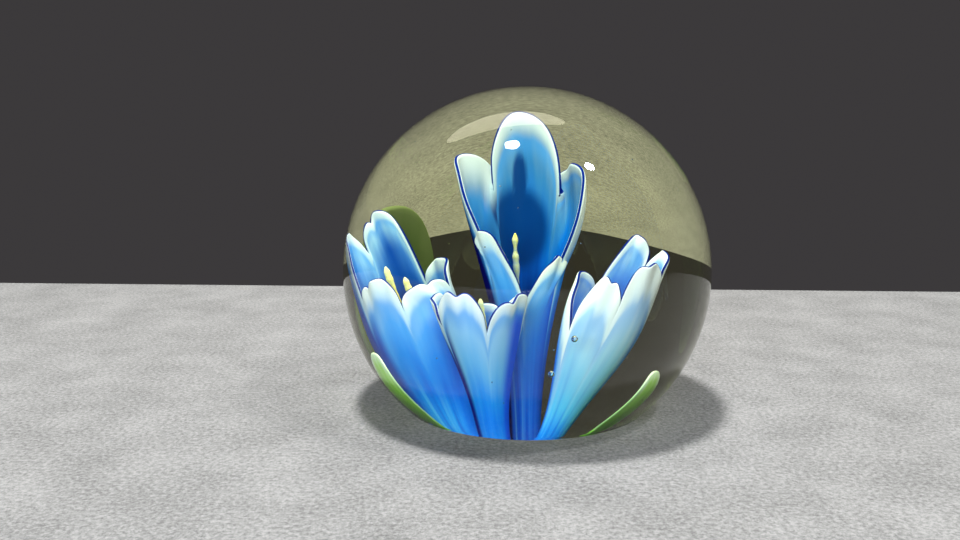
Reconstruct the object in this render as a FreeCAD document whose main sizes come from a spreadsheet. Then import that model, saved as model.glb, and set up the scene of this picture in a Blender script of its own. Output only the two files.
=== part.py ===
import FreeCAD, Part

import math
import os

import Sketcher

# A solid ball of clear glass with a ground flat base. Four five-petalled flowers, their
# stamens and three leaves are separate pieces of coloured glass, sealed inside the ball.
# Millimetres, +Z up, origin at the centre of the flat base, front towards -Y.

os.makedirs("parts", exist_ok=True)
doc = FreeCAD.newDocument("paperweight")
sheet = doc.addObject("Spreadsheet::Sheet", "Sizes")

PETALS = ("back", "left", "front_left", "front_right", "right")
FLOWERS = ("tall", "left", "front", "right")

COMMON = {
    "ball_diameter": 80.0,
    "ball_rise": 29.5,        # height of the ball's centre over its flat base
    "base_bevel": 0.4,
    "petal_wall": 0.9,        # at the stem; a petal thins towards its tip
    "tip_thinning": 0.4,      # share of the wall lost at the tip
    "leaf_wall": 1.0,
    "seam_gap": 0.3,          # clear glass between two petals of a flower
    "half_sector": 36.0,      # five petals share the turn
    "lobe_taper": 1.5,        # the two powers of a lobe's outline
    "lobe_round": 0.42,
    "leaf_foot_share": 0.35,  # width of a leaf's foot to its widest
    "stamen_radius": 0.32,
    "anther_radius": 0.6,
    "anther_length": 3.2,
    "bubble_radius": 0.55,
}

# Each flower is a trumpet: a stem radius that swells to a mouth radius at a height along
# its own axis, which leans by tilt towards the azimuth toward.
TRUMPETS = {
    "tall": {"x": 0.2, "y": 2.5, "z": 1.0, "tilt": 2.0, "toward": 125.0, "roll": 0.0,
             "stem": 2.1, "mouth": 9.3, "swell_end": 47.0, "swell": 1.2},
    "left": {"x": -8.9, "y": 0.0, "z": 2.3, "tilt": 21.5, "toward": 176.0, "roll": 0.0,
             "stem": 3.4, "mouth": 7.4, "swell_end": 23.0, "swell": 0.9},
    "front": {"x": -4.4, "y": -5.5, "z": 1.8, "tilt": 16.5, "toward": 247.0, "roll": 0.0,
              "stem": 2.5, "mouth": 8.3, "swell_end": 32.0, "swell": 1.2},
    "right": {"x": 2.8, "y": -3.5, "z": 2.0, "tilt": 23.5, "toward": -9.0, "roll": 10.0,
              "stem": 1.8, "mouth": 6.1, "swell_end": 25.0, "swell": 1.1},
}

# Per petal, in the order of PETALS: the height of its tip, the height of the notch and the
# turn of the seam between it and the next petal, the sway of its tip to one side in
# degrees, and how far the tip leans out.
LOBES = {
    "tall": {"tip": (47.9, 43.8, 34.9, 30.6, 42.6), "notch": (38.0, 31.0, 22.0, 28.5, 37.6),
             "turn": (-6, 18, 0, -14, -5), "sway": (0, -8, -13, 14, 9), "lean": (0.6, 0.9, 0, 0, 0)},
    "left": {"tip": (36.4, 36.6, 29.8, 26.6, 27.6), "notch": (30.8, 26.3, 23.2, 23.6, 24.4),
             "turn": (-22, 0, -11, 0, 0), "sway": (-9, -9, -3, -14, 0), "lean": (0, 0.2, 0, 0, 0.6)},
    "front": {"tip": (22.6, 26.5, 31.0, 28.4, 24.4), "notch": (20.2, 22.5, 22.2, 21.8, 20.2),
              "turn": (0, 4, 6, 6, 0), "sway": (0, 2, 9, 9, 2), "lean": (0, 0, 0, 0, 0)},
    "right": {"tip": (35.5, 27.6, 30.6, 35.2, 35.4), "notch": (22.0, 19.0, 25.2, 27.0, 30.0),
              "turn": (-16, 14, 4, 12, 0), "sway": (-12, -18, 12, -2, 6), "lean": (0, 0, 0, 0, 0)},
}

# Each leaf is a blade on a bowl about the ball's axis, standing at an azimuth.
LEAVES = {
    "left": {"azimuth": 205.0, "foot": 11.0, "rim": 28.3, "swell_end": 15.0, "swell": 0.6,
             "half_width": 8.5, "widest": 5.0, "tip": 15.6, "sway": -4.0},
    "right": {"azimuth": 329.0, "foot": 9.0, "rim": 24.3, "swell_end": 13.0, "swell": 0.7,
              "half_width": 7.0, "widest": 7.5, "tip": 13.8, "sway": 5.0},
    "back": {"azimuth": 136.0, "foot": 12.0, "rim": 25.5, "swell_end": 26.0, "swell": 0.7,
             "half_width": 21.0, "widest": 20.0, "tip": 34.0, "sway": -12.0},
}
LEAF_FOOT_HEIGHT = 1.0

# Stamens stand in a flower's mouth: foot and top along the axis, offset from it.
STAMENS = {
    "left_rear_stamen": {"flower": "left", "foot": 14.0, "top": 30.2, "dx": -0.9, "dy": -1.5},
    "left_front_stamen": {"flower": "left", "foot": 14.0, "top": 27.8, "dx": 1.3, "dy": -2.6},
    "front_stamen": {"flower": "front", "foot": 12.0, "top": 26.2, "dx": 0.6, "dy": 0.0},
    "tall_pistil": {"flower": "tall", "foot": 13.0, "top": 33.6, "dx": -0.9, "dy": -1.0},
}

BUBBLES = ((7.9, -15.0, 21.0), (4.3, -16.5, 15.3))


def enter(name, value):
    """Put one plain number in the sheet under an alias."""
    enter.row += 1
    sheet.set(f"A{enter.row}", name)
    sheet.set(f"B{enter.row}", str(value))
    sheet.setAlias(f"B{enter.row}", name)


enter.row = 0


def enter_group(prefix, group):
    """Put a dictionary of numbers in the sheet, with a row per petal for the tuples."""
    for key, value in group.items():
        if isinstance(value, tuple):
            for petal, entry in zip(PETALS, value):
                enter(f"{prefix}_{petal}_{key}", entry)
        elif not isinstance(value, str):
            enter(f"{prefix}_{key}", value)


enter_group("common", COMMON)
for flower in FLOWERS:
    enter_group(f"{flower}_flower", TRUMPETS[flower])
    enter_group(f"{flower}_flower", LOBES[flower])
for leaf, group in LEAVES.items():
    enter_group(f"{leaf}_leaf", group)
for stamen, group in STAMENS.items():
    enter_group(stamen, group)
doc.recompute()


def cell(name):
    """The expression of a cell."""
    return f"Sizes.{name}"


def size(name):
    """The number in a cell."""
    return float(getattr(sheet, name))


def plane(body, role):
    """One of a body's own origin planes or axes."""
    for feature in body.Origin.OriginFeatures:
        if feature.Role == role:
            return feature
    raise ValueError(role)


def flat_sketch(body, name, role="XY_Plane"):
    """A sketch on a plane of its own body."""
    sketch = body.newObject("Sketcher::SketchObject", name)
    sketch.AttachmentSupport = [(plane(body, role), "")]
    sketch.MapMode = "FlatFace"
    return sketch


def named(sketch, name, constraint, expression):
    """Add a dimension to a sketch and bind it to the sheet."""
    index = sketch.addConstraint(constraint)
    sketch.renameConstraint(index, name)
    sketch.setExpression(f"Constraints.{name}", expression)


def swell_radius(foot, rim, height, swell_end, swell):
    """Expression of a trumpet's radius at a height: a cosine rise from foot to rim."""
    share = f"pow(min(1; {height} / {swell_end}); {swell})"
    return f"({foot} + ({rim} - {foot}) * (1 - cos(180 deg * {share})) / 2)"


def lobe_share(height, notch, tip):
    """Expression of how far a height is from the notch to the tip, 0 to 1."""
    return f"max(0; ({height} - {notch}) / ({tip} - {notch}))"


LEAST_WIDTH = 0.0001          # keeps the power's base above nought at the very tip


def lobe_width(share):
    """Expression of the width left at a share of the lobe."""
    left = f"1 - pow({share}; {cell('common_lobe_taper')})"
    return f"pow(max({LEAST_WIDTH}; {left}); {cell('common_lobe_round')})"


# A strip is drawn at this size first, then its dimensions take it to the right one.
DRAWN_OUTER = 6.0
DRAWN_INNER = 5.0
DRAWN_ANGLE = math.radians(20)
LEAST_LEAN = 0.001            # a dimension between the origin and the hub can't be nought


def blade_section(body, name, height, outer, wall, low, high, lean):
    """A curved strip at a height: two arcs about the axis, closed by two radial lines.

    It faces +X. low and high are its two edges in degrees, lean moves it out along X.
    """
    sketch = flat_sketch(body, name)
    sketch.setExpression(".AttachmentOffset.Base.z", f"({height}) * 1 mm")
    start, end = -DRAWN_ANGLE, DRAWN_ANGLE
    up = FreeCAD.Vector(0, 0, 1)
    hub = FreeCAD.Vector(0, 0, 0)
    sketch.addGeometry(Part.ArcOfCircle(Part.Circle(hub, up, DRAWN_OUTER), start, end))
    sketch.addGeometry(Part.ArcOfCircle(Part.Circle(hub, up, DRAWN_INNER), start, end))
    for angle in (start, end):
        ray = FreeCAD.Vector(math.cos(angle), math.sin(angle), 0)
        sketch.addGeometry(Part.LineSegment(ray * DRAWN_INNER, ray * DRAWN_OUTER))
    sketch.addGeometry(Part.Point(hub), True)
    sketch.addConstraint([
        Sketcher.Constraint("PointOnObject", 4, 1, -1),
        Sketcher.Constraint("Coincident", 0, 3, 4, 1),
        Sketcher.Constraint("Coincident", 1, 3, 4, 1),
        Sketcher.Constraint("Coincident", 2, 1, 1, 1),
        Sketcher.Constraint("Coincident", 2, 2, 0, 1),
        Sketcher.Constraint("Coincident", 3, 1, 1, 2),
        Sketcher.Constraint("Coincident", 3, 2, 0, 2),
        Sketcher.Constraint("PointOnObject", 4, 1, 2),
        Sketcher.Constraint("PointOnObject", 4, 1, 3),
    ])
    named(sketch, "hub", Sketcher.Constraint("DistanceX", -1, 1, 4, 1, LEAST_LEAN),
          f"({LEAST_LEAN} + {lean}) * 1 mm")
    named(sketch, "outer", Sketcher.Constraint("Radius", 0, DRAWN_OUTER), f"({outer}) * 1 mm")
    named(sketch, "inner", Sketcher.Constraint("Radius", 1, DRAWN_INNER),
          f"({outer} - {wall}) * 1 mm")
    named(sketch, "low", Sketcher.Constraint("Angle", -1, 1, 2, 1, start), f"({low}) * 1 deg")
    named(sketch, "high", Sketcher.Constraint("Angle", -1, 1, 3, 1, end), f"({high}) * 1 deg")
    return sketch


def blade_loft(body, sections):
    """Loft a body through its sections, lowest first."""
    loft = body.newObject("PartDesign::AdditiveLoft", body.Name + "_loft")
    loft.Profile = sections[0]
    loft.Sections = sections[1:]
    loft.Ruled = True
    body.Tip = loft
    return loft


def trumpet_placement(flower, turn=0.0, along=0.0, dx=0.0, dy=0.0):
    """Placement of something on a flower's axis, turned about it."""
    tilt = size(f"{flower}_flower_tilt")
    toward = size(f"{flower}_flower_toward")
    hinge = FreeCAD.Vector(-math.sin(math.radians(toward)), math.cos(math.radians(toward)), 0)
    lean = FreeCAD.Rotation(hinge, tilt)
    root = FreeCAD.Vector(*(size(f"{flower}_flower_{axis}") for axis in "xyz"))
    shift = lean.multVec(FreeCAD.Vector(dx, dy, along))
    spin = FreeCAD.Rotation(FreeCAD.Vector(0, 0, 1), turn)
    return FreeCAD.Placement(root + shift, lean * spin)


# ---- petals ----

LOBE_STEPS = (0.25, 0.5, 0.72, 0.88, 0.985)
STEM_STEPS = (0.0, 0.2, 0.4, 0.6, 0.8, 1.0)


def petal(flower, index):
    """One petal: a strip of the flower's trumpet, ending in a rounded lobe."""
    name = PETALS[index]
    before = PETALS[index - 1]
    own = f"{flower}_flower_{name}"
    tip = cell(own + "_tip")
    high_notch = cell(own + "_notch")
    low_notch = cell(f"{flower}_flower_{before}_notch")
    first_notch = f"min({low_notch}; {high_notch})"
    sway = cell(own + "_sway")
    trumpet = [cell(f"{flower}_flower_{key}") for key in ("stem", "mouth", "swell_end", "swell")]
    body = doc.addObject("PartDesign::Body", f"{flower}_flower_{name}_petal")
    body.Label = f"{flower}_flower_{name}_petal"
    heights = [f"({first_notch} * {step})" for step in STEM_STEPS]
    heights += [f"({first_notch} + ({tip} - {first_notch}) * {step})" for step in LOBE_STEPS]
    sections = []
    for number, height in enumerate(heights):
        radius = swell_radius(trumpet[0], trumpet[1], height, trumpet[2], trumpet[3])
        gap = f"{cell('common_seam_gap')} / 2 / {radius} * 180 / pi"
        edges = []
        for side, notch, turn in ((-1, low_notch, f"{flower}_flower_{before}_turn"),
                                  (1, high_notch, own + "_turn")):
            share = lobe_share(height, notch, tip)
            full = f"({side} * ({cell('common_half_sector')} - {gap}) + {cell(turn)})"
            edges.append(f"{sway} * {share} + ({full} - {sway} * {share}) * {lobe_width(share)}")
        out = lobe_share(height, first_notch, tip)
        thinning = f"{cell('common_tip_thinning')} * {height} / {tip}"
        wall = f"{cell('common_petal_wall')} * (1 - {thinning})"
        lean = f"{cell(own + '_lean')} * pow({out}; 2)"
        sections.append(blade_section(body, f"{body.Name}_at_{number}", height, radius, wall,
                                      edges[0], edges[1], lean))
    blade_loft(body, sections)
    azimuth = 90 + 2 * size("common_half_sector") * index + size(f"{flower}_flower_roll")
    body.Placement = trumpet_placement(flower, azimuth)
    return body


# ---- leaves ----

LEAF_STEPS = (0.0, 0.2, 0.45, 0.7, 0.88, 0.97)


def leaf_blade(leaf):
    """One leaf: a blade on a bowl about the ball's axis, widest part of the way up."""
    own = f"{leaf}_leaf"
    tip = cell(own + "_tip")
    body = doc.addObject("PartDesign::Body", own)
    body.Label = own
    sections = []
    for number, step in enumerate(LEAF_STEPS):
        height = f"({tip} * {step})"
        radius = swell_radius(cell(own + "_foot"), cell(own + "_rim"), height,
                              cell(own + "_swell_end"), cell(own + "_swell"))
        rise = f"min(1; {height} / {cell(own + '_widest')})"
        fall = f"max(0; ({height} - {cell(own + '_widest')}) / ({tip} - {cell(own + '_widest')}))"
        foot = cell("common_leaf_foot_share")
        width = f"{cell(own + '_half_width')} * ({foot} + (1 - {foot}) * sin(90 deg * {rise}))"
        width = f"{width} * sqrt(1 - pow({fall}; 2))"
        sway = f"{cell(own + '_sway')} * {step}"
        wall = f"{cell('common_leaf_wall')} * (1 - {cell('common_tip_thinning')} * {step})"
        sections.append(blade_section(body, f"{own}_at_{number}", height, radius, wall,
                                      f"{sway} - {width}", f"{sway} + {width}", "0"))
    blade_loft(body, sections)
    body.Placement = FreeCAD.Placement(
        FreeCAD.Vector(0, 0, LEAF_FOOT_HEIGHT),
        FreeCAD.Rotation(FreeCAD.Vector(0, 0, 1), size(own + "_azimuth")))
    return body


# ---- stamens and pistil ----

def knob(name, radius, length, height, aside):
    """A rounded swelling on a stalk: an ellipsoid standing on the flower's axis."""
    swelling = doc.addObject("Part::Ellipsoid", name)
    swelling.setExpression("Radius1", f"({length}) / 2 * 1 mm")
    swelling.setExpression("Radius2", f"({radius}) * 1 mm")
    swelling.setExpression("Radius3", f"({radius}) * 1 mm")
    swelling.setExpression(".Placement.Base.x", f"({aside}) * 1 mm")
    swelling.setExpression(".Placement.Base.z", f"({height}) * 1 mm")
    return swelling


def stamen(name, knobs):
    """A thin stalk with swellings, each given as share of radius, share of length,
    distance down from the top and offset to one side."""
    length = f"({cell(name + '_top')} - {cell(name + '_foot')})"
    stalk = doc.addObject("Part::Cylinder", name + "_stalk")
    stalk.setExpression("Radius", f"{cell('common_stamen_radius')} * 1 mm")
    stalk.setExpression("Height", f"({length} - {cell('common_anther_length')} / 2) * 1 mm")
    pieces = [stalk]
    for number, (wide, tall, down, aside) in enumerate(knobs):
        pieces.append(knob(f"{name}_knob_{number}",
                           f"{cell('common_anther_radius')} * {wide}",
                           f"{cell('common_anther_length')} * {tall}",
                           f"{length} - {cell('common_anther_length')} * {down}", aside))
    whole = doc.addObject("Part::MultiFuse", name)
    whole.Label = name
    whole.Shapes = pieces
    group = STAMENS[name]
    whole.Placement = trumpet_placement(group["flower"], 0.0, size(name + "_foot"),
                                        size(name + "_dx"), size(name + "_dy"))
    return whole


# ---- glass ball ----

def ball_body():
    """The clear ball before its cavities: a revolved outline with a bevelled flat base."""
    body = doc.addObject("PartDesign::Body", "ball_outline")
    sketch = flat_sketch(body, "ball_section", "XZ_Plane")
    radius = size("common_ball_diameter") / 2
    rise = size("common_ball_rise")
    bevel = size("common_base_bevel")
    waist = math.sqrt(radius ** 2 - (rise - bevel) ** 2)
    centre = FreeCAD.Vector(0, rise, 0)
    start = math.atan2(bevel - rise, waist)
    points = [FreeCAD.Vector(x, y, 0) for x, y in
              ((0, radius + rise), (0, 0), (waist - bevel, 0), (waist, bevel))]
    for first, last in zip(points[:3], points[1:]):
        sketch.addGeometry(Part.LineSegment(first, last))
    circle = Part.Circle(centre, FreeCAD.Vector(0, 0, 1), radius)
    sketch.addGeometry(Part.ArcOfCircle(circle, start, math.pi / 2))
    sketch.addConstraint([
        Sketcher.Constraint("Coincident", 0, 2, -1, 1),
        Sketcher.Constraint("Coincident", 0, 2, 1, 1),
        Sketcher.Constraint("Coincident", 1, 2, 2, 1),
        Sketcher.Constraint("Coincident", 2, 2, 3, 1),
        Sketcher.Constraint("Coincident", 3, 2, 0, 1),
        Sketcher.Constraint("Vertical", 0),
        Sketcher.Constraint("Horizontal", 1),
        Sketcher.Constraint("PointOnObject", 3, 3, -2),
    ])
    named(sketch, "radius", Sketcher.Constraint("Radius", 3, radius),
          f"{cell('common_ball_diameter')} / 2 * 1 mm")
    named(sketch, "rise", Sketcher.Constraint("DistanceY", -1, 1, 3, 3, rise),
          f"{cell('common_ball_rise')} * 1 mm")
    named(sketch, "bevel", Sketcher.Constraint("DistanceY", 2, 1, 2, 2, bevel),
          f"{cell('common_base_bevel')} * 1 mm")
    named(sketch, "bevel_run", Sketcher.Constraint("DistanceX", 2, 1, 2, 2, bevel),
          f"{cell('common_base_bevel')} * 1 mm")
    turn = body.newObject("PartDesign::Revolution", "ball_revolution")
    turn.Profile = sketch
    turn.ReferenceAxis = (sketch, ["V_Axis"])
    turn.Angle = 360
    body.Tip = turn
    return body


def bubble(number, place):
    """A small air bubble left in the glass."""
    ball = doc.addObject("Part::Sphere", f"bubble_{number}")
    ball.setExpression("Radius", f"{cell('common_bubble_radius')} * 1 mm")
    ball.Placement = FreeCAD.Placement(FreeCAD.Vector(*place), FreeCAD.Rotation())
    return ball


def glass_ball(inner):
    """The ball with a sealed cavity for every piece of coloured glass and every bubble."""
    cavities = doc.addObject("Part::Compound", "cavities")
    cavities.Links = inner + [bubble(n, place) for n, place in enumerate(BUBBLES)]
    ball = doc.addObject("Part::Cut", "glass_ball")
    ball.Label = "glass_ball"
    ball.Base = ball_body()
    ball.Tool = cavities
    return ball


# Swellings, as in stamen(): a stamen carries one anther, the pistil three knobs.
ANTHER = ((1.0, 1.0, 0.5, "0"),)
PISTIL = ((0.9, 1.1, 0.55, "0"), (0.75, 0.5, 1.15, "0.2"), (1.0, 0.75, 1.75, "0.25"))

coloured = [petal(flower, index) for flower in FLOWERS for index in range(len(PETALS))]
coloured += [leaf_blade(leaf) for leaf in LEAVES]
coloured += [stamen(name, PISTIL if name == "tall_pistil" else ANTHER) for name in STAMENS]
parts = coloured + [glass_ball(coloured)]
doc.recompute()

for thing in doc.Objects:
    if "Invalid" in thing.State or "Error" in thing.State:
        raise RuntimeError(f"{thing.Name}: {thing.State}")
for part in parts:
    if part.Shape.isNull() or not part.Shape.isValid() or len(part.Shape.Solids) != 1:
        raise RuntimeError(f"{part.Label}: {len(part.Shape.Solids)} solids")
    part.Shape.exportStep(f"parts/{part.Label}.step")
    print(f"{part.Label}: {part.Shape.Volume:.1f} mm3")
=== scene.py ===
import math
import random

import bpy
import numpy as np
from mathutils import Matrix, Vector


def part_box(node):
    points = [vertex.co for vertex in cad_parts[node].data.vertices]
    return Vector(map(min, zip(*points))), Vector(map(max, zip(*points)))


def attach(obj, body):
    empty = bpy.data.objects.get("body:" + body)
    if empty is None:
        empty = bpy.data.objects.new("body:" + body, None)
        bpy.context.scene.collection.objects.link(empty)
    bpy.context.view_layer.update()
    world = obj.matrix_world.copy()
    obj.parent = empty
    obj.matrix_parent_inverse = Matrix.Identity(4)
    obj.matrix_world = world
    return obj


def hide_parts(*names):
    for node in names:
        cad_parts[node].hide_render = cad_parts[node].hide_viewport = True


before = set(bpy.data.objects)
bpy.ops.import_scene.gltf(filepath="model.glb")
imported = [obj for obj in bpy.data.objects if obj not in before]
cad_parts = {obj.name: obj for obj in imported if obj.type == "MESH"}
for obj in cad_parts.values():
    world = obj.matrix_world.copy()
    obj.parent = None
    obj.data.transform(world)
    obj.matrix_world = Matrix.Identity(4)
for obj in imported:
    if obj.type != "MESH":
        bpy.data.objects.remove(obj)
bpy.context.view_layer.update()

# A glass paperweight: flowers of coloured glass inside a clear ball. Everything is in
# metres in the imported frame, +Z up, with the centre of the ball's flat base at the origin.

MM = 0.001

PETALS = ("back", "left", "front_left", "front_right", "right")
HALF_SECTOR = 36.0            # degrees from a petal's middle to its seams

ball_low, ball_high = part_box("glass_ball")
BALL_RADIUS = (ball_high.x - ball_low.x) / 2
BALL_RISE = ball_high.z - BALL_RADIUS
BALL_CENTRE = Vector((0, 0, BALL_RISE))
BASE_BEVEL = 0.4 * MM

# ---- camera ----

CAMERA_ELEVATION = 9.5        # degrees above the ball's centre
CAMERA_TURN = 2.93            # degrees that the ball stands right of the picture's middle
CAMERA_DISTANCE = 4.99 * BALL_RADIUS
CAMERA_LENS = 33.75           # mm, on a sensor 36 mm wide


def make_camera():
    data = bpy.data.cameras.new("camera")
    data.lens = CAMERA_LENS
    data.sensor_width = 36
    data.clip_start = 0.005
    camera = bpy.data.objects.new("camera", data)
    bpy.context.scene.collection.objects.link(camera)
    tilt = math.radians(CAMERA_ELEVATION)
    offset = Vector((0, -math.cos(tilt), math.sin(tilt))) * CAMERA_DISTANCE
    camera.location = BALL_CENTRE + offset
    camera.rotation_euler = (math.radians(90) - tilt, 0, math.radians(CAMERA_TURN))
    bpy.context.scene.camera = camera


make_camera()
bpy.context.scene.view_settings.view_transform = "Standard"

# ---- node helpers ----


def linear(red, green, blue):
    """A colour given as 0 to 255 screen values, as the linear values that shaders take."""
    def one(value):
        value = value / 255
        return value / 12.92 if value <= 0.04045 else ((value + 0.055) / 1.055) ** 2.4
    return (one(red), one(green), one(blue), 1.0)


class Nodes:
    """A material's node tree with short calls for the nodes used here."""

    def __init__(self, name):
        self.material = bpy.data.materials.new(name)
        self.material.use_nodes = True
        self.tree = self.material.node_tree
        self.tree.nodes.clear()
        self.output = self.add("ShaderNodeOutputMaterial")

    def add(self, kind, **settings):
        node = self.tree.nodes.new(kind)
        for key, value in settings.items():
            setattr(node, key, value)
        return node

    def put(self, socket, value):
        if isinstance(value, bpy.types.NodeSocket):
            self.tree.links.new(value, socket)
        else:
            socket.default_value = value

    def attribute(self, name):
        return self.add("ShaderNodeAttribute", attribute_name=name).outputs["Fac"]

    def maths(self, operation, *values, clamp=False):
        node = self.add("ShaderNodeMath", operation=operation, use_clamp=clamp)
        for socket, value in zip(node.inputs, values):
            self.put(socket, value)
        return node.outputs[0]

    def vector(self, x, y, z=0.0):
        node = self.add("ShaderNodeCombineXYZ")
        for socket, value in zip(node.inputs, (x, y, z)):
            self.put(socket, value)
        return node.outputs[0]

    def rise(self, value, low, high, to_low=0.0, to_high=1.0):
        """A smooth step of value from low to high."""
        node = self.add("ShaderNodeMapRange", interpolation_type="SMOOTHSTEP")
        for socket, number in zip(node.inputs, (value, low, high, to_low, to_high)):
            self.put(socket, number)
        return node.outputs[0]

    def mix(self, factor, first, second):
        node = self.add("ShaderNodeMix", data_type="RGBA")
        for socket, value in zip((node.inputs[0], node.inputs[6], node.inputs[7]),
                                 (factor, first, second)):
            self.put(socket, value)
        return node.outputs[2]

    def ramp(self, value, stops):
        node = self.add("ShaderNodeValToRGB")
        points = node.color_ramp.elements
        while len(points) < len(stops):
            points.new(0.5)
        for point, (place, colour) in zip(points, stops):
            point.position = place
            point.color = colour
        self.put(node.inputs[0], value)
        return node.outputs["Color"]

    def noise(self, vector, scale, detail=2.0, rough=0.5):
        node = self.add("ShaderNodeTexNoise")
        node.inputs["Scale"].default_value = scale
        node.inputs["Detail"].default_value = detail
        node.inputs["Roughness"].default_value = rough
        self.put(node.inputs["Vector"], vector)
        return node.outputs["Fac"]

    def principled(self, **values):
        node = self.add("ShaderNodeBsdfPrincipled")
        for key, value in values.items():
            self.put(node.inputs[key.replace("_", " ")], value)
        return node


# ---- materials ----

GLASS_IOR = 1.5
GLASS_TINT = (0.70, 0.71, 0.26, 1.0)
GLASS_TINT_DEPTH = 16.0      # absorption density, per metre
LAMP_ENTERS = (0.08, 0.08, 0.08, 1.0)   # the share of a lamp's light that crosses the ball
LAMP_LEAVES = (1.0, 1.0, 1.0, 1.0)      # and the share that reaches the glass inside it


def clear_glass():
    """Clear glass with a slight olive tint, which lamps shine through."""
    made = Nodes("clear_glass")
    glass = made.principled(Base_Color=(1, 1, 1, 1), Roughness=0.0, IOR=GLASS_IOR,
                            Transmission_Weight=1.0)
    passed = made.add("ShaderNodeBsdfTransparent")
    side = made.add("ShaderNodeNewGeometry").outputs["Backfacing"]
    made.put(passed.inputs["Color"], made.mix(side, LAMP_ENTERS, LAMP_LEAVES))
    path = made.add("ShaderNodeLightPath")
    mix = made.add("ShaderNodeMixShader")
    made.put(mix.inputs[0], path.outputs["Is Shadow Ray"])
    made.put(mix.inputs[1], glass.outputs[0])
    made.put(mix.inputs[2], passed.outputs[0])
    made.put(made.output.inputs["Surface"], mix.outputs[0])
    tint = made.add("ShaderNodeVolumeAbsorption")
    tint.inputs["Color"].default_value = GLASS_TINT
    tint.inputs["Density"].default_value = GLASS_TINT_DEPTH
    made.put(made.output.inputs["Volume"], tint.outputs[0])
    return made.material


# The colours below are the screen values that the lit glass should show. Only this share of
# each goes into the shader, because the lamps light the petals past full brightness.
OUTER_SHARE = 0.90
INNER_SHARE = {"tall": 0.66, "left": 0.78, "front": 0.8, "right": 0.8}

OUTER = {
    # share of the way up the petal, and the colour there
    "tall": ((0.0, (0, 96, 214)), (0.3, (4, 110, 228)), (0.6, (30, 134, 234)),
             (0.8, (84, 172, 238)), (1.0, (170, 218, 240))),
    "left": ((0.0, (10, 140, 232)), (0.15, (24, 152, 236)), (0.35, (0, 112, 222)),
             (0.55, (20, 132, 230)), (0.75, (76, 164, 238)), (1.0, (176, 218, 240))),
    "front": ((0.0, (24, 140, 246)), (0.2, (4, 126, 246)), (0.36, (30, 146, 246)),
              (0.55, (104, 186, 244)), (0.75, (140, 202, 240)), (1.0, (160, 210, 240))),
    "right": ((0.0, (0, 104, 216)), (0.12, (6, 142, 238)), (0.25, (84, 194, 244)),
              (0.5, (142, 210, 244)), (0.72, (190, 228, 242)), (1.0, (226, 240, 242))),
}
INNER = {
    "tall": ((0.0, (0, 30, 112)), (0.5, (2, 56, 150)), (0.66, (6, 96, 210)),
             (0.76, (14, 120, 220)), (0.86, (60, 140, 206)), (0.95, (104, 160, 204)),
             (1.0, (136, 180, 210))),
    "left": ((0.0, (2, 40, 120)), (0.6, (24, 90, 176)), (0.76, (39, 113, 200)),
             (0.86, (89, 161, 231)), (0.94, (150, 208, 239)), (1.0, (196, 236, 240))),
    "front": ((0.0, (2, 40, 130)), (0.6, (20, 90, 190)), (0.85, (70, 150, 225)),
              (1.0, (190, 225, 240))),
    "right": ((0.0, (2, 50, 140)), (0.5, (40, 112, 220)), (0.75, (72, 142, 235)),
              (0.88, (128, 190, 238)), (1.0, (206, 236, 240))),
}
# painted shade on the left and right flank of a flower's outside, where it turns away from the
# front: its colour, and how far round from the middle each starts and ends
FLANK_SHADES = {
    "tall": (((0, 6, 96), 0.7, 0.88), ((0, 96, 228), 0.45, 0.88)),
    "left": (((0, 72, 198), 0.76, 0.95), ((4, 122, 234), 0.1, 0.8)),
    "front": (((0, 16, 140), 0.74, 0.92), ((0, 92, 242), 0.5, 0.84)),
    "right": (((0, 104, 222), 0.82, 0.97), ((30, 130, 232), 0.88, 1.02)),
}
# how strong the dark and pale threads are on a flower's outside; the pale ones are paler glass
# and painted highlight streaks both
THREADS = {"tall": 0.75, "left": 0.55, "front": 0.12, "right": 0.3}
# painted shading over the heart of a flower's inside: a navy shadow in the tall flower, a
# middle blue in the left and front ones and a paler blue in the right one
HEART_SHADING = {"tall": (2, 56, 128), "left": (20, 88, 180), "front": (20, 80, 180),
        "right": (85, 140, 225)}
# how strongly the tall flower's painted heart shadow covers its inner face
TALL_HEART_SHADOW_STRENGTH = 0.93
WHITE = (232, 242, 244)
RIM_LINE = (0, 50, 168)
# the dark threads' blue, the mid blue of the painted shade below the white rim, and the pale
# threads' blue, which is paler glass and painted highlight both
DEEP, RIM_SHADE_BLUE, PALE_THREAD_AND_SHINE = (0, 76, 208), (64, 156, 234), (116, 204, 246)
BLUE_MAKE_UP = 1.3           # the clear glass takes this much blue away again


def glass(colour, share=1.0):
    """The shader's colour for a share of a screen colour seen through the clear glass."""
    red, green, blue, _ = linear(*colour)
    return (red * share, green * share, min(1.0, blue * share * BLUE_MAKE_UP), 1.0)


def stops(pairs, share=1.0):
    """Ramp stops from screen colours, with a share taken of each."""
    return [(place, glass(colour, share)) for place, colour in pairs]


def matt(made, colour):
    """Ends a material as glass buried in the ball, which has no polished surface of its own."""
    shader = made.principled(Base_Color=colour, Roughness=0.5, Specular_IOR_Level=0.0)
    made.put(made.output.inputs["Surface"], shader.outputs[0])
    return made.material


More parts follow.
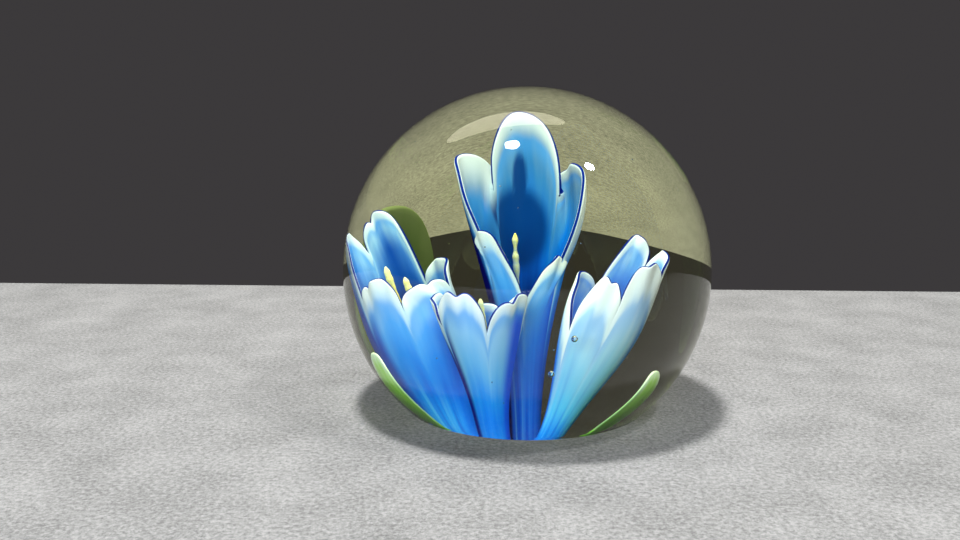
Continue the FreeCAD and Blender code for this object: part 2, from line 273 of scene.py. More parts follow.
def petal_outside(made, flower, along, streak, rim_share):
    """The colour of a petal's outer face: a ramp, threads near the foot, the pale ones also
    painted highlights, and painted shade on its flanks.
    """
    turn = made.attribute("turn")
    threads = made.vector(made.maths("MULTIPLY", turn, 4.5), made.maths("MULTIPLY", along, 0.5),
                          3.7)
    thread = made.noise(threads, 1.0, 2.0, 0.5)
    shifted = made.maths("ADD", along, made.maths("MULTIPLY", streak, 0.3))
    colour = made.ramp(shifted, stops(OUTER[flower], OUTER_SHARE))
    dark = made.maths("MULTIPLY", made.rise(thread, 0.45, 0.65), THREADS[flower])
    low_down = made.rise(along, 0.1, 0.8, 1.0, 0.0)
    colour = made.mix(made.maths("MULTIPLY", dark, low_down), colour, glass(DEEP, 0.9))
    # pale threads low on the petal: paler glass and painted highlight streaks both
    pale = made.maths("MULTIPLY", made.rise(thread, 0.3, 0.48, 1.0, 0.0), THREADS[flower])
    pale = made.maths("MULTIPLY", pale, made.rise(along, 0.1, 0.6, 0.6, 0.0))
    colour = made.mix(pale, colour, glass(PALE_THREAD_AND_SHINE, 0.95))
    below_rim = made.rise(rim_share, 0.9, 1.8)
    # painted shade on the two flanks, below the white rim
    side = made.attribute("side")
    for sign, (flank_shade_colour, start, end) in zip((-1, 1), FLANK_SHADES[flower]):
        round_there = made.maths("MULTIPLY", side, sign)
        flank_shade = made.maths("MULTIPLY", made.rise(round_there, start, end), below_rim)
        colour = made.mix(flank_shade, colour, glass(flank_shade_colour, 0.85))
    return colour


def petal_inside(made, flower, along, streak, heart_shading):
    """The colour of a petal's inner face: a ramp with the flower's painted heart shading over
    it.
    """
    shifted = made.maths("ADD", along, made.maths("MULTIPLY", streak, 0.45))
    colour = made.ramp(shifted, stops(INNER[flower], INNER_SHARE[flower]))
    return made.mix(heart_shading, colour, glass(HEART_SHADING[flower], INNER_SHARE[flower]))


def petal_glass(flower):
    """Cased glass: pale outside and blue inside, drawn out into streaks along the petal."""
    made = Nodes(f"{flower}_petal_glass")
    along = made.attribute("along")
    inside = made.attribute("inside")
    turn = made.attribute("turn")
    streaks = made.vector(made.maths("MULTIPLY", turn, 3.2), made.maths("MULTIPLY", along, 1.1))
    streak = made.maths("SUBTRACT", made.noise(streaks, 1.0, 2.5, 0.45), 0.5)
    # how far in from the rim, in widths of the white there, made ragged by the streaks
    rim_share = made.maths("DIVIDE", made.attribute("rim_distance"), made.attribute("white"))
    rim_share = made.maths("ADD", rim_share, made.maths("MULTIPLY", streak, 1.2))
    # painted shading over the heart of the flower's inside, at full strength in the tall flower
    # and elsewhere only well below the white rim
    heart_shading = made.attribute("heart_shading")
    heart_shading_strength = TALL_HEART_SHADOW_STRENGTH if flower == "tall" else made.rise(rim_share, 2.0, 6.0)
    heart_shading = made.maths("MULTIPLY", heart_shading, heart_shading_strength)
    colour = made.mix(made.rise(inside, 0.55, 0.95),
                      petal_outside(made, flower, along, streak, rim_share),
                      petal_inside(made, flower, along, streak, heart_shading))
    # a band of painted shade in mid blue just below the white along the rim
    shade_below_white = made.maths("MULTIPLY", made.rise(rim_share, 0.7, 1.2),
                             made.rise(rim_share, 1.3, 2.6, 0.45, 0.0))
    colour = made.mix(shade_below_white, colour, glass(RIM_SHADE_BLUE, 0.85))
    white = made.rise(rim_share, 0.0, 1.3, 0.95, 0.0)
    white = made.maths("MULTIPLY", white, made.attribute("crest"))
    # no white where the painted heart shading lies on the inner face
    outside_heart_shading = made.maths("SUBTRACT", 1.0, made.maths("MULTIPLY", heart_shading, inside))
    white = made.maths("MULTIPLY", white, outside_heart_shading)
    colour = made.mix(white, colour, glass(WHITE))
    from_lip = made.maths("ABSOLUTE", made.maths("SUBTRACT", inside, 0.5))
    line = made.rise(from_lip, 0.16, 0.33, 1.0, 0.0)
    return matt(made, made.mix(line, colour, glass(RIM_LINE, 0.4)))


LEAF = ((0.0, (60, 130, 10)), (0.3, (98, 178, 26)), (0.6, (140, 210, 58)),
        (0.85, (168, 220, 100)), (1.0, (205, 228, 180)))
BACK_LEAF = ((0.0, (54, 80, 34)), (0.5, (92, 120, 60)), (0.85, (116, 140, 78)),
             (1.0, (134, 150, 96)))


def leaf_glass(name, pairs, share):
    """Green glass, darker at the foot and edges, with a paler tip."""
    made = Nodes(name)
    along = made.attribute("along")
    across = made.attribute("across")
    streaks = made.vector(made.maths("MULTIPLY", across, 2.0), along)
    streak = made.maths("SUBTRACT", made.noise(streaks, 2.0), 0.5)
    shifted = made.maths("ADD", along, made.maths("MULTIPLY", streak, 0.3))
    colour = made.ramp(shifted, stops(pairs, share))
    edge = made.rise(made.maths("ABSOLUTE", across), 0.55, 1.0, 0.0, 0.6)
    return matt(made, made.mix(edge, colour, glass(pairs[1][1], share)))


def stamen_glass(name, low, high):
    """Opaque glass from one colour at the foot to another at the top, a little blotchy."""
    made = Nodes(name)
    along = made.attribute("along")
    where = made.add("ShaderNodeTexCoord").outputs["Object"]
    blotch = made.maths("SUBTRACT", made.noise(where, 1500.0), 0.5)
    mixed = made.maths("ADD", along, made.maths("MULTIPLY", blotch, 0.8), clamp=True)
    return matt(made, made.ramp(mixed, stops(((0.2, low), (0.9, high)), 0.95)))


FELT_DARK = (0.085, 0.084, 0.081, 1.0)
FELT_LIGHT = (0.215, 0.213, 0.206, 1.0)


def felt():
    """The pale grey cloth that the paperweight stands on."""
    made = Nodes("felt")
    where = made.add("ShaderNodeTexCoord").outputs["Object"]
    fine = made.noise(where, 1100.0, 4.0, 0.85)
    wide = made.noise(where, 60.0, 3.0, 0.6)
    both = made.maths("ADD", made.maths("MULTIPLY", fine, 0.8),
                      made.maths("MULTIPLY", wide, 0.2))
    colour = made.ramp(both, [(0.38, FELT_DARK), (0.62, FELT_LIGHT)])
    bump = made.add("ShaderNodeBump")
    bump.inputs["Strength"].default_value = 0.25
    bump.inputs["Distance"].default_value = 0.0003
    made.put(bump.inputs["Height"], fine)
    shader = made.principled(Base_Color=colour, Roughness=0.95, Specular_IOR_Level=0.1,
                             Normal=bump.outputs[0])
    made.put(made.output.inputs["Surface"], shader.outputs[0])
    return made.material


# ---- meshes ----


def link(name, vertices, faces, material, attributes=None, sharp=50.0):
    """A smooth-shaded mesh object with point attributes."""
    mesh = bpy.data.meshes.new(name)
    mesh.from_pydata([tuple(v) for v in vertices], [], faces)
    mesh.validate()
    for key, values in (attributes or {}).items():
        layer = mesh.attributes.new(key, "FLOAT", "POINT")
        layer.data.foreach_set("value", np.asarray(values, dtype=np.float32).ravel())
    mesh.polygons.foreach_set("use_smooth", [True] * len(mesh.polygons))
    mesh.set_sharp_from_angle(angle=math.radians(sharp))
    mesh.materials.append(material)
    piece = bpy.data.objects.new(name, mesh)
    bpy.context.scene.collection.objects.link(piece)
    return piece


def smooth(share):
    """A smooth step, 0 up to a share of 0 and 1 from a share of 1."""
    share = np.clip(share, 0, 1)
    return share * share * (3 - 2 * share)


def unit(vectors):
    return vectors / np.maximum(np.linalg.norm(vectors, axis=-1, keepdims=True), 1e-12)


LIP_STEPS = 6


def thick_sheet(middle, wall, across, along, turn):
    """A closed sheet round a grid of points: its rows run across, its last row is the rim.

    The rim is rounded, and the two sides and the foot are flat. Returns the vertices, the
    faces and the attributes that the materials read.
    """
    columns, rows = middle.shape[:2]
    normal = unit(np.cross(np.gradient(middle, axis=0), np.gradient(middle, axis=1)))
    rim_run = unit(np.gradient(middle[:, -1], axis=0))
    outward = unit(np.cross(rim_run, normal[:, -1]))
    growth = middle[:, -1] - middle[:, -2]
    outward *= np.sign(np.sum(outward * growth, axis=1, keepdims=True))
    half = wall[:, :, None] / 2
    outer = middle + normal * half
    inner = middle - normal * half
    loops = [outer[:, j] for j in range(rows)]
    marks = [(along[:, j], np.zeros(columns)) for j in range(rows)]
    for step in range(1, LIP_STEPS):
        angle = math.pi * step / LIP_STEPS
        arc = normal[:, -1] * math.cos(angle) + outward * math.sin(angle)
        loops.append(middle[:, -1] + arc * half[:, -1])
        marks.append((np.ones(columns), np.full(columns, step / LIP_STEPS)))
    loops += [inner[:, j] for j in range(rows - 1, -1, -1)]
    marks += [(along[:, j], np.ones(columns)) for j in range(rows - 1, -1, -1)]
    ring = len(loops)
    vertices = np.stack(loops, axis=1).reshape(-1, 3)
    faces = []
    for i in range(columns - 1):
        for k in range(ring):
            after = (k + 1) % ring
            faces.append((i * ring + k, (i + 1) * ring + k,
                          (i + 1) * ring + after, i * ring + after))
    for i, flip in ((0, False), (columns - 1, True)):
        base = i * ring
        for j in range(rows - 1):
            quad = (base + j, base + j + 1, base + ring - 2 - j, base + ring - 1 - j)
            faces.append(quad[::-1] if flip else quad)
        cap = tuple(base + k for k in range(rows - 1, rows + LIP_STEPS))
        faces.append(cap[::-1] if flip else cap)
    gaps = np.linalg.norm(np.diff(middle, axis=1), axis=2)
    to_rim = np.concatenate([np.cumsum(gaps[:, ::-1], axis=1)[:, ::-1],
                             np.zeros((columns, 1))], axis=1)
    rim = [to_rim[:, j] for j in range(rows)]
    rim += [np.zeros(columns)] * (LIP_STEPS - 1)
    rim += rim[rows - 1::-1]
    attributes = {
        "along": np.stack([m[0] for m in marks], axis=1),
        "inside": np.stack([m[1] for m in marks], axis=1),
        "across": np.repeat(across[:, None], ring, axis=1),
        "turn": np.repeat(turn[:, None], ring, axis=1),
        "rim_distance": np.stack(rim, axis=1) / MM,
    }
    return vertices, faces, attributes


# ---- flowers ----

# The trumpet's radii and the height at which it is full, in mm, the power that eases its
# swell, and the flower's roll about its axis in degrees. Then by petal, in the order of
# PETALS: the notch height in mm and the seam's turn in degrees between it and the next, the
# sway of its tip in degrees, how far its tip leans out and its lobe bulges in mm, how deep a
# dip parts the lobe's top in mm and where, and how slim the lobe is.
FLOWERS = {
    "tall": {"stem": 2.1, "mouth": 9.3, "swell_end": 47.0, "swell": 1.2, "roll": 0.0,
             "notch": (38.0, 31.0, 22.0, 28.5, 37.6), "turn": (-6, 18, 0, -14, -5),
             "sway": (5, -16, -18, 20, 16), "lean": (0.6, 0.9, 0.9, 0.3, -0.2),
             "belly": (0, 0, 0, 0.2, 0.9), "dip": (0, 0, 0, 0.3, 0.4),
             "dip_at": (0, 0, 0, -0.3, 0.5), "slim": (0.1, 0.2, 0.3, 0.7, 0.2)},
    "left": {"stem": 3.4, "mouth": 7.4, "swell_end": 23.0, "swell": 0.9, "roll": 0.0,
             "notch": (30.8, 26.3, 23.2, 23.6, 24.4), "turn": (-22, 0, -11, 0, 0),
             "sway": (2, 2, 3, -9, 0), "lean": (0, 0.2, 0.2, 0.2, 0.6),
             "belly": (0, 0, 0, 0, 0), "dip": (1.2, 0, 1.0, 0.7, 0),
             "dip_at": (0.35, 0, -0.4, 0.2, 0), "slim": (-0.3, 0.3, -0.2, 0.1, 0)},
    "front": {"stem": 2.5, "mouth": 8.3, "swell_end": 32.0, "swell": 1.2, "roll": 0.0,
              "notch": (20.2, 22.5, 22.2, 21.8, 20.2), "turn": (0, 4, 6, 6, 0),
              "sway": (0, 0, 4, 3, -1), "lean": (0, 0, 0.1, 0.5, 0),
              "belly": (0, 0, 0, 0, 0), "dip": (0.2, 0.3, 0.9, 1.0, 0.3),
              "dip_at": (0, 0, 0, -0.1, 0), "slim": (0, 0, 0, -0.3, 0)},
    "right": {"stem": 1.8, "mouth": 6.1, "swell_end": 25.0, "swell": 1.1, "roll": 10.0,
              "notch": (22.0, 19.0, 25.2, 27.0, 30.0), "turn": (-16, 14, 4, 12, 0),
              "sway": (-4, -17, 3, -10, 0), "lean": (0, 0.3, 0, 0, 0),
              "belly": (0, 0, 0, 0, 0), "dip": (0.2, 0, 0.8, 0.6, 0),
              "dip_at": (0, 0, 0.1, -0.2, 0), "slim": (0.2, 0.3, 0, 0.1, 0.2)},
}
LOBE_TAPER, LOBE_ROUND = 1 / 0.42, 1 / 1.5     # the two powers of a lobe's outline
SLIM_TAPER, SLIM_ROUND = 1.6, 0.95             # and those of a slim one
NOTCH_ROUND = 0.08            # how far from a seam a notch is rounded, as a share
DIP_WIDTH = 0.18              # of a dip, where a lobe is 2 across
PETAL_WALL = 0.9 * MM
TIP_THINNING = 0.35           # the share of a wall that is lost towards its tip
PETAL_COLUMNS = 49
PETAL_ROWS = 72
ROW_CROWDING = 1.25           # over 1, the rows lie closer together near the rim
SEAM_GROOVE = 0.03 * MM
SEAM_GROOVE_WIDTH = 0.05      # as a share of half the petal
SEAM_HALF_GAP = 0.02          # degrees
RIPPLE = 0.25 * MM            # how far a lobe waves in and out
RIPPLE_WAVES = 2.2            # half waves in half a lobe's width
FOOT_TOLERANCE = 0.05 * MM    # how far off its flat foot a point still counts as on it
STREAK_TURN = 57.3            # degrees round a flower for one unit of its streaks


def petal_points(node):
    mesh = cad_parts[node].data
    points = np.empty(len(mesh.vertices) * 3)
    mesh.vertices.foreach_get("co", points)
    return points.reshape(-1, 3)


def flower_frame(flower):
    """Root point and axes of a flower, from the flat feet of its packed petals."""
    nodes = [f"{flower}_flower_{petal}_petal" for petal in PETALS]
    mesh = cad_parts[nodes[0]].data
    foot = min(mesh.polygons, key=lambda face: face.normal.z)
    axis = -np.array(foot.normal)
    level = axis @ np.array(foot.center)
    lean = Vector((0, 0, 1)).rotation_difference(Vector(axis)).to_matrix()
    side, front = np.array(lean.col[0]), np.array(lean.col[1])
    points = np.concatenate([petal_points(node) for node in nodes])
    feet = points[np.abs(points @ axis - level) < FOOT_TOLERANCE]
    root = axis * level
    for direction in (side, front):
        reach = feet @ direction
        root = root + direction * (reach.min() + reach.max()) / 2
    return root, axis, side, front


def trumpet_radius(shape, height):
    share = np.minimum(1, height / (shape["swell_end"] * MM)) ** shape["swell"]
    spread = (shape["mouth"] - shape["stem"]) * MM
    return shape["stem"] * MM + spread * (1 - np.cos(math.pi * share)) / 2


# The width in mm of the white along each petal's rim, on its outer and its inner face.
WHITE_WIDTH = {
    "tall": ((3.0, 2.4), (4.0, 5.0), (3.2, 1.0), (2.2, 1.0), (9.0, 1.2)),
    "left": ((2.0, 1.0), (3.4, 1.6), (3.4, 1.0), (2.2, 1.0), (6.0, 1.6)),
    "front": ((2.0, 1.0), (3.6, 1.0), (3.0, 1.0), (2.2, 1.0), (2.0, 1.0)),
    "right": ((2.0, 1.6), (6.0, 0.7), (5.0, 1.0), (5.5, 1.2), (7.0, 1.5)),
}
# How strong it is on the inner face, where it is full on the outer one.
INNER_WHITE = {"tall": 0.66, "left": 0.8, "front": 0.8, "right": 0.9}
LOW_CREST, FULL_CREST = 0.3, 0.7      # its share at a notch, and how high on a lobe it is full
# The tall flower's painted navy heart shadow: two ovals, each as height, sideways place and
# half sizes in mm.
TALL_HEART_SHADOW = ((33.0, -0.7, 5.6, 4.4), (39.6, -0.3, 3.6, 1.0))
HEART_SHADOW_REACH, HEART_SHADOW_FADE = 1.2, 0.42     # where it ends and the width that it fades over


def tall_heart_shadow(across, depth, height):
    """1 in the painted navy heart shadow of the tall flower, which fades out at its edge."""
    amount = np.zeros_like(height)
    for level, middle, half_height, half_width in TALL_HEART_SHADOW:
        away = np.hypot((height - level) / half_height, (across - middle) / half_width)
        amount = np.maximum(amount, smooth((HEART_SHADOW_REACH - away) / HEART_SHADOW_FADE))
    return amount * (depth > 0)


def petal_outline(shape, index, tip):
    """By column: the place across, the lobe's share, the top, and where the lobe starts."""
    low_notch = shape["notch"][index - 1] * MM
    high_notch = shape["notch"][index] * MM
    u = np.sin(np.linspace(-math.pi / 2, math.pi / 2, PETAL_COLUMNS))
    notch = low_notch + (high_notch - low_notch) * smooth((u + 1) / 2)
    slim = shape["slim"][index]
    taper = LOBE_TAPER + (SLIM_TAPER - LOBE_TAPER) * slim
    lobe = (1 - np.abs(u) ** taper) ** (LOBE_ROUND + (SLIM_ROUND - LOBE_ROUND) * slim)
    lobe *= 1 - np.exp(-((1 - np.abs(u)) / NOTCH_ROUND) ** 2)
    dip_place = (u - shape["dip_at"][index]) / DIP_WIDTH
    dip = shape["dip"][index] * MM * np.exp(-dip_place ** 2)
    top = notch + (tip - notch) * lobe - dip
    first_notch = min(low_notch, high_notch)
    edge_notch = np.where(u < 0, low_notch, high_notch)
    start = first_notch + (edge_notch - first_notch) * np.abs(u) ** 3
    return u, lobe, top, start


def petal_paint(flower, index, place, azimuth, lobe, attributes, axes):
    """Adds the attributes that the petal's glass is coloured by."""
    inside = attributes["inside"]
    ring = inside.shape[1]
    sideways = np.cos(np.radians(azimuth))
    attributes["side"] = np.repeat(sideways[:, None], ring, axis=1)
    outside, within = WHITE_WIDTH[flower][index]
    attributes["white"] = outside + (within - outside) * inside
    crest = LOW_CREST + (1 - LOW_CREST) * np.clip(lobe / FULL_CREST, 0, 1)
    attributes["crest"] = crest[:, None] * (1 - (1 - INNER_WHITE[flower]) * inside)
    # the painted heart shading: the tall flower's navy shadow, and the middle of the back petal
    # in the others
    if flower == "tall":
        axis, side, front = axes
        attributes["heart_shading"] = tall_heart_shadow(place @ side, place @ front, place @ axis)
    else:
        attributes["heart_shading"] = (1 - np.abs(attributes["across"])) * float(index == 0)


def petal(flower, index, material):
    """One petal: a strip of its flower's trumpet that ends in a rounded, waved lobe."""
    shape = FLOWERS[flower]
    node = f"{flower}_flower_{PETALS[index]}_petal"
    root, axis, side, front = flower_frame(flower)
    tip = (petal_points(node) @ axis).max() - root @ axis
    u, lobe, top, start = petal_outline(shape, index, tip)
    v = 1 - (1 - np.linspace(0, 1, PETAL_ROWS)) ** ROW_CROWDING
    height = top[:, None] * v[None, :]
    rise = np.clip((height - start[:, None]) / (tip - start[:, None]), 0, 1)
    ease = smooth(rise)
    low_edge = -HALF_SECTOR + shape["turn"][index - 1] + SEAM_HALF_GAP
    high_edge = HALF_SECTOR + shape["turn"][index] - SEAM_HALF_GAP
    middle = 90 + 2 * HALF_SECTOR * index + shape["roll"]
    turn = (low_edge + high_edge) / 2 + u * (high_edge - low_edge) / 2
    azimuth = np.radians(middle + turn[:, None] + shape["sway"][index] * ease)
    wall = PETAL_WALL * (1 - TIP_THINNING * height / tip)
    radius = trumpet_radius(shape, height) + shape["lean"][index] * MM * rise ** 2
    radius += shape["belly"][index] * MM * 4 * rise * (1 - rise)
    groove = SEAM_GROOVE * np.exp(-((1 - np.abs(u)) / SEAM_GROOVE_WIDTH) ** 2)
    ripple = RIPPLE * np.sin(RIPPLE_WAVES * math.pi * u + index)[:, None] * ease
    radius = radius - wall / 2 - groove[:, None] + ripple
    points = (root + height[..., None] * axis
              + (radius * np.cos(azimuth))[..., None] * side
              + (radius * np.sin(azimuth))[..., None] * front)
    along = np.repeat(v[None, :], PETAL_COLUMNS, axis=0)
    vertices, faces, attributes = thick_sheet(points, wall, u, along,
                                              (middle + turn) / STREAK_TURN)
    place = (vertices - root).reshape(PETAL_COLUMNS, -1, 3) / MM
    petal_paint(flower, index, place, middle + turn, lobe, attributes, (axis, side, front))
    piece = link(f"{flower}_{PETALS[index]}_petal_glass", vertices, faces, material, attributes)
    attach(piece, "root")
    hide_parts(node)


for flower_name in FLOWERS:
    petal_material = petal_glass(flower_name)
    for petal_index in range(len(PETALS)):
        petal(flower_name, petal_index, petal_material)

# ---- leaves ----

# The direction, half width and sideways sway of a leaf in degrees, the radii of the bowl
# that it lies on and the height at which that is full, in mm, and the power of its swell.
LEAVES = {
    "left_leaf": {"azimuth": 205.0, "foot": 11.0, "rim": 28.3, "swell_end": 15.0,
                  "swell": 0.6, "half_width": 9.0, "sway": -4.0},
    "right_leaf": {"azimuth": 329.0, "foot": 9.0, "rim": 24.3, "swell_end": 13.0,
                   "swell": 0.7, "half_width": 7.5, "sway": 5.0},
    "back_leaf": {"azimuth": 143.0, "foot": 12.0, "rim": 25.5, "swell_end": 26.0,
                  "swell": 0.7, "half_width": 20.0, "sway": -12.0},
}
LEAF_WALL = 1.0 * MM
LEAF_SHOULDER = 0.3           # the height of a leaf's edge, as a share of its tip's
LEAF_TAPER, LEAF_ROUND = 2.6, 0.55             # the two powers of its outline
LEAF_FOOT_WIDTH = 0.35        # the share of its full width at the foot
LEAF_FULL_WIDTH = 0.45        # the share of its height at which it is full
LEAF_EDGE_THINNING = 0.5
LEAF_COLUMNS = 33
LEAF_ROWS = 48


def leaf_blade(node, material):
    """A leaf: a blade on a bowl about the ball's axis, narrow at its foot."""
    shape = LEAVES[node]
    low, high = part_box(node)
    tip = high.z - low.z
    u = np.sin(np.linspace(-math.pi / 2, math.pi / 2, LEAF_COLUMNS))
    v = np.linspace(0, 1, LEAF_ROWS)
    share = np.repeat(v[None, :], LEAF_COLUMNS, axis=0)
    crown = (1 - np.abs(u) ** LEAF_TAPER) ** LEAF_ROUND
    top = tip * (LEAF_SHOULDER + (1 - LEAF_SHOULDER) * crown)
    height = top[:, None] * share
    growth = np.sin(math.pi / 2 * np.minimum(1, height / (LEAF_FULL_WIDTH * tip)))
    width = shape["half_width"] * (LEAF_FOOT_WIDTH + (1 - LEAF_FOOT_WIDTH) * growth)
    azimuth = np.radians(shape["azimuth"] + u[:, None] * width + shape["sway"] * height / tip)
    radius = trumpet_radius({"stem": shape["foot"], "mouth": shape["rim"],
                             "swell_end": shape["swell_end"], "swell": shape["swell"]}, height)
    wall = LEAF_WALL * (1 - TIP_THINNING * height / tip)
    wall = wall * (1 - LEAF_EDGE_THINNING * u[:, None] ** 2)
    radius = radius - LEAF_WALL / 2
    points = np.stack([radius * np.cos(azimuth), radius * np.sin(azimuth),
                       low.z + height], axis=-1)
    vertices, faces, attributes = thick_sheet(points, wall, u, share, u)
    piece = link(f"{node}_glass", vertices, faces, material, attributes)
    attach(piece, "root")
    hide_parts(node)


leaf_material = leaf_glass("leaf_glass", LEAF, 0.95)
leaf_blade("left_leaf", leaf_material)
leaf_blade("right_leaf", leaf_material)
leaf_blade("back_leaf", leaf_glass("back_leaf_glass", BACK_LEAF, 0.55))

# ---- stamens and pistil ----

ROD_SIDES = 20
ROD_SIDEWAYS = np.array((0.3, 1.0, 0.1))   # any direction that no rod runs along


def rod(name, spine, radii, material):
    """A closed round rod along a spine of points, with a radius at each."""
    spine = np.asarray(spine)
    run = unit(np.gradient(spine, axis=0))
    side = unit(np.cross(run, ROD_SIDEWAYS))
    other = np.cross(run, side)
    angles = np.linspace(0, 2 * math.pi, ROD_SIDES, endpoint=False)
    rings = [spine[i] + radii[i] * (np.cos(a) * side[i] + np.sin(a) * other[i])
             for i in range(len(spine)) for a in angles]
    faces = []
    for i in range(len(spine) - 1):
        for k in range(ROD_SIDES):
            after = (k + 1) % ROD_SIDES
            faces.append((i * ROD_SIDES + k, i * ROD_SIDES + after,
                          (i + 1) * ROD_SIDES + after, (i + 1) * ROD_SIDES + k))
    faces.append(tuple(range(ROD_SIDES))[::-1])
    faces.append(tuple((len(spine) - 1) * ROD_SIDES + k for k in range(ROD_SIDES)))
    along = np.repeat(np.linspace(0, 1, len(spine)), ROD_SIDES)
    return link(name, rings, faces, material, {"along": along})


STAMENS = {
    # flower, knobs as (height share, half length share, extra radius in mm)
    "left_rear_stamen": ("left", ((0.88, 0.10, 0.28),)),
    "left_front_stamen": ("left", ((0.87, 0.11, 0.26),)),
    "front_stamen": ("front", ((0.86, 0.13, 0.18),)),
    "tall_pistil": ("tall", ((0.95, 0.05, 0.24), (0.83, 0.03, 0.32), (0.75, 0.05, 0.28))),
}
STALK_RADIUS = 0.3 * MM
PISTIL_RADIUS = 0.2 * MM
KNOBBLE = 0.12                # how far a stalk's thickness wanders, as a share
KNOBBLE_RATES = (47, 29)      # radians along the stalk, of the two waves that make it up
STALK_END = 0.06              # the share of a stalk's length that rounds off its end
THINNEST_END = 0.0004         # of the end's radius, squared
STALK_BEND = 0.35 * MM
BEND_RATE = 5.0               # radians along the stalk
STAMEN_ROWS = 70


def stamen(node, material):
    """A thin stalk that carries one or more rounded swellings."""
    flower, knobs = STAMENS[node]
    _, axis, side, front = flower_frame(flower)
    points = petal_points(node)
    heights = points @ axis
    middle = [(points @ d).min() / 2 + (points @ d).max() / 2 for d in (side, front)]
    share = np.sin(np.linspace(0, math.pi / 2, STAMEN_ROWS))
    foot, top = heights.min(), heights.max()
    radii = np.full(STAMEN_ROWS, STALK_RADIUS if flower != "tall" else PISTIL_RADIUS)
    for place, half, extra in knobs:
        radii += extra * MM * np.exp(-((share - place) / half) ** 2)
    first_rate, second_rate = KNOBBLE_RATES
    radii *= 1 + KNOBBLE * np.sin(first_rate * share) * np.sin(second_rate * share)
    over_end = ((share - (1 - STALK_END)) / STALK_END).clip(0, 1)
    radii *= np.sqrt(np.clip(1 - over_end ** 2, THINNEST_END, 1))
    bend = STALK_BEND * np.sin(share * BEND_RATE)
    spine = (axis * (foot + (top - foot) * share)[:, None]
             + side * (middle[0] + bend)[:, None] + front * middle[1])
    piece = rod(f"{node}_glass", spine, radii, material)
    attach(piece, "root")
    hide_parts(node)


yellow = stamen_glass("stamen_glass", (226, 208, 40), (244, 244, 170))
cream = stamen_glass("pistil_glass", (160, 200, 226), (232, 228, 110))
for stamen_node in STAMENS:
    stamen(stamen_node, cream if stamen_node == "tall_pistil" else yellow)

# ---- glass ball ----

BALL_SIDES = 256
BALL_RINGS = 150
BUBBLES = ((7.9, -15.0, 21.0, 0.55), (4.3, -16.5, 15.3, 0.55))    # centre and radius, in mm
POCKET_COUNT = 46                   # the bubbles and the fine seeds together
# Where seeds lie, in radii of the ball: how far off centre they are drawn along each axis,
# how far out they may be at most, and the lowest that they may be.
SEED_FIELD, SEED_EDGE, SEED_LOWEST = 0.85, 0.88, -0.6
SEED_RADIUS = (0.07 * MM, 0.15 * MM)


def ball_outline():
    """Radius and height from the top of the ball down to the middle of its base."""
    waist = math.sqrt(BALL_RADIUS ** 2 - (BALL_RISE - BASE_BEVEL) ** 2)
    last = math.pi / 2 + math.atan2(BALL_RISE - BASE_BEVEL, waist)
    outline = []
    for step in range(1, BALL_RINGS + 1):
        angle = last * step / BALL_RINGS
        outline.append((BALL_RADIUS * math.sin(angle),
                        BALL_RISE + BALL_RADIUS * math.cos(angle)))
    outline += [(waist - BASE_BEVEL * 0.6, BASE_BEVEL * 0.25), (waist - BASE_BEVEL, 0.0)]
    outline += [(waist * share, 0.0) for share in (0.9, 0.6, 0.3)]
    return outline


def revolve(outline, sides, top, bottom):
    """Vertices and faces of an outline turned about Z, closed by a point at each end."""
    vertices = [top]
    for radius, height in outline:
        for k in range(sides):
            angle = 2 * math.pi * k / sides
            vertices.append((radius * math.cos(angle), radius * math.sin(angle), height))
    vertices.append(bottom)
    faces = []
    for k in range(sides):
        after = (k + 1) % sides
        faces.append((0, 1 + k, 1 + after))
        for ring in range(len(outline) - 1):
            base = 1 + ring * sides
            faces.append((base + k, base + sides + k, base + sides + after, base + after))
        base = 1 + (len(outline) - 1) * sides
        faces.append((len(vertices) - 1, base + after, base + k))
    return vertices, faces


def air_bubble(centre, radius, sides, rings):
    """A small sphere that faces inwards: a pocket of air in the glass."""
    outline = [(math.sin(math.pi * step / rings), math.cos(math.pi * step / rings))
               for step in range(1, rings)]
    vertices, faces = revolve(outline, sides, (0, 0, 1), (0, 0, -1))
    vertices = [tuple(centre[axis] + radius * vertex[axis] for axis in range(3))
                for vertex in vertices]
    return vertices, [face[::-1] for face in faces]


def glass_ball():
    """The clear ball with its flat base, two bubbles and a scatter of fine seeds."""
    vertices, faces = revolve(ball_outline(), BALL_SIDES, (0, 0, BALL_RISE + BALL_RADIUS),
                              (0, 0, 0))
    pockets = [(tuple(c * MM for c in bubble[:3]), bubble[3] * MM, 24, 16)
               for bubble in BUBBLES]
    draw = random.Random(11)
    while len(pockets) < POCKET_COUNT:
        place = Vector([draw.uniform(-SEED_FIELD, SEED_FIELD) * BALL_RADIUS for _ in range(3)])
        if place.length < SEED_EDGE * BALL_RADIUS and place.z > SEED_LOWEST * BALL_RADIUS:
            pockets.append((BALL_CENTRE + place, draw.uniform(*SEED_RADIUS), 8, 6))
    for pocket in pockets:
        more, more_faces = air_bubble(*pocket)
        start = len(vertices)
        vertices += more
        faces += [tuple(start + index for index in face) for face in more_faces]
    piece = link("clear_glass_ball", vertices, faces, clear_glass(), sharp=25.0)
    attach(piece, "root")
    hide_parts("glass_ball")


glass_ball()

# ---- stage and lights ----

FLOOR_END = 3.4 * BALL_RADIUS     # behind the ball, where the dark backdrop starts
FLOOR_REACH = 1.6
ABOVE = (-0.11, -0.04, 0.99)
RIGHT = (0.50, -0.13, 0.86)
LAMP_DISTANCE = 1.15
SHINE_DISTANCE = 1.12
FILL_DISTANCE = 0.9
SHINE_POWER = 2.0                 # the lamps' reflections, apart from the light they give
BACKDROP = (0.045, 0.042, 0.044, 1.0)


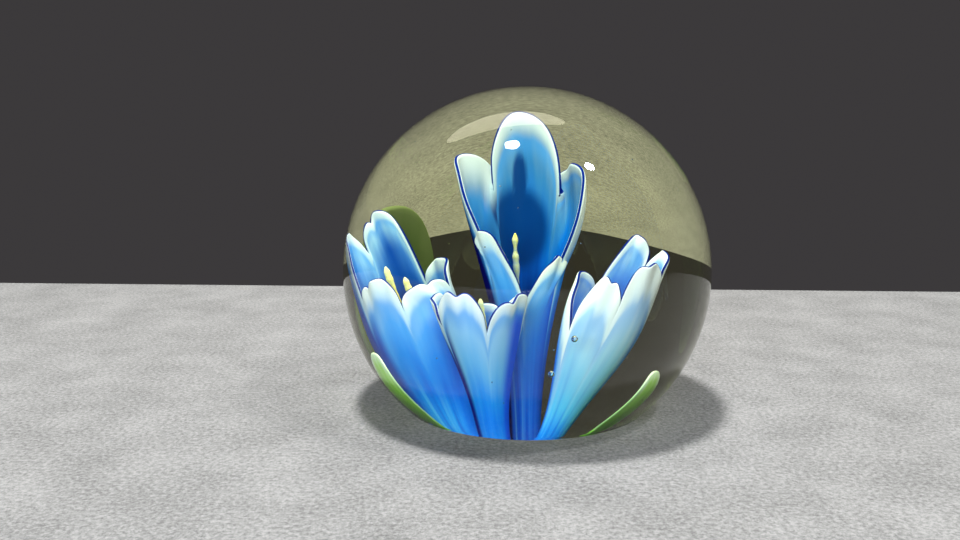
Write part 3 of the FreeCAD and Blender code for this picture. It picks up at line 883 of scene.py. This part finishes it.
def floor():
    corners = [(-FLOOR_REACH, -FLOOR_REACH, 0), (FLOOR_REACH, -FLOOR_REACH, 0),
               (FLOOR_REACH, FLOOR_END, 0), (-FLOOR_REACH, FLOOR_END, 0)]
    plane = link("floor", corners, [(0, 1, 2, 3)], felt())


def area_light(name, direction, distance, size, power, colour=(1, 1, 1), hidden=False):
    """A lamp at a distance from the ball, facing it. size is a disc's width, or two sides."""
    data = bpy.data.lights.new(name, "AREA")
    if isinstance(size, tuple):
        data.shape = "ELLIPSE"
        data.size, data.size_y = size
    else:
        data.shape = "DISK"
        data.size = size
    data.energy = power
    data.color = colour
    lamp = bpy.data.objects.new(name, data)
    bpy.context.scene.collection.objects.link(lamp)
    towards = Vector(direction).normalized()
    lamp.location = BALL_CENTRE + towards * distance
    level = (Vector((1, 0, 0)) - towards * towards.x).normalized()
    turned = Matrix((level, towards.cross(level), towards)).transposed()
    lamp.rotation_euler = turned.to_euler()
    lamp.visible_camera = False
    lamp.visible_transmission = not hidden
    lamp.visible_glossy = not hidden


floor()
world = bpy.data.worlds.new("backdrop")
world.use_nodes = True
world.node_tree.nodes["Background"].inputs["Color"].default_value = BACKDROP
bpy.context.scene.world = world

area_light("lamp_above", ABOVE, LAMP_DISTANCE, 0.13, 31.0, hidden=True)
area_light("lamp_right", RIGHT, LAMP_DISTANCE, 0.1, 6.5, hidden=True)
area_light("shine_above", ABOVE, SHINE_DISTANCE, 0.135, SHINE_POWER)
area_light("shine_right", RIGHT, SHINE_DISTANCE, 0.1, SHINE_POWER)
area_light("panel_behind", (-0.15, 0.35, 0.92), LAMP_DISTANCE, (0.97, 0.30), 2.2,
           (1, 0.95, 0.72))
area_light("fill_front", (-0.2, -1.0, 0.24), FILL_DISTANCE, (0.8, 0.36), 14.5,
           (0.84, 0.94, 1.12), hidden=True)
area_light("fill_back", (0.3, 1.0, 0.6), FILL_DISTANCE, (0.8, 0.6), 1.0, hidden=True)
area_light("fill_left", (-1.0, 0.1, 0.5), FILL_DISTANCE, (0.7, 0.5), 1.2, hidden=True)
area_light("fill_right", (1.0, 0.1, 0.5), FILL_DISTANCE, (0.7, 0.5), 1.2, hidden=True)
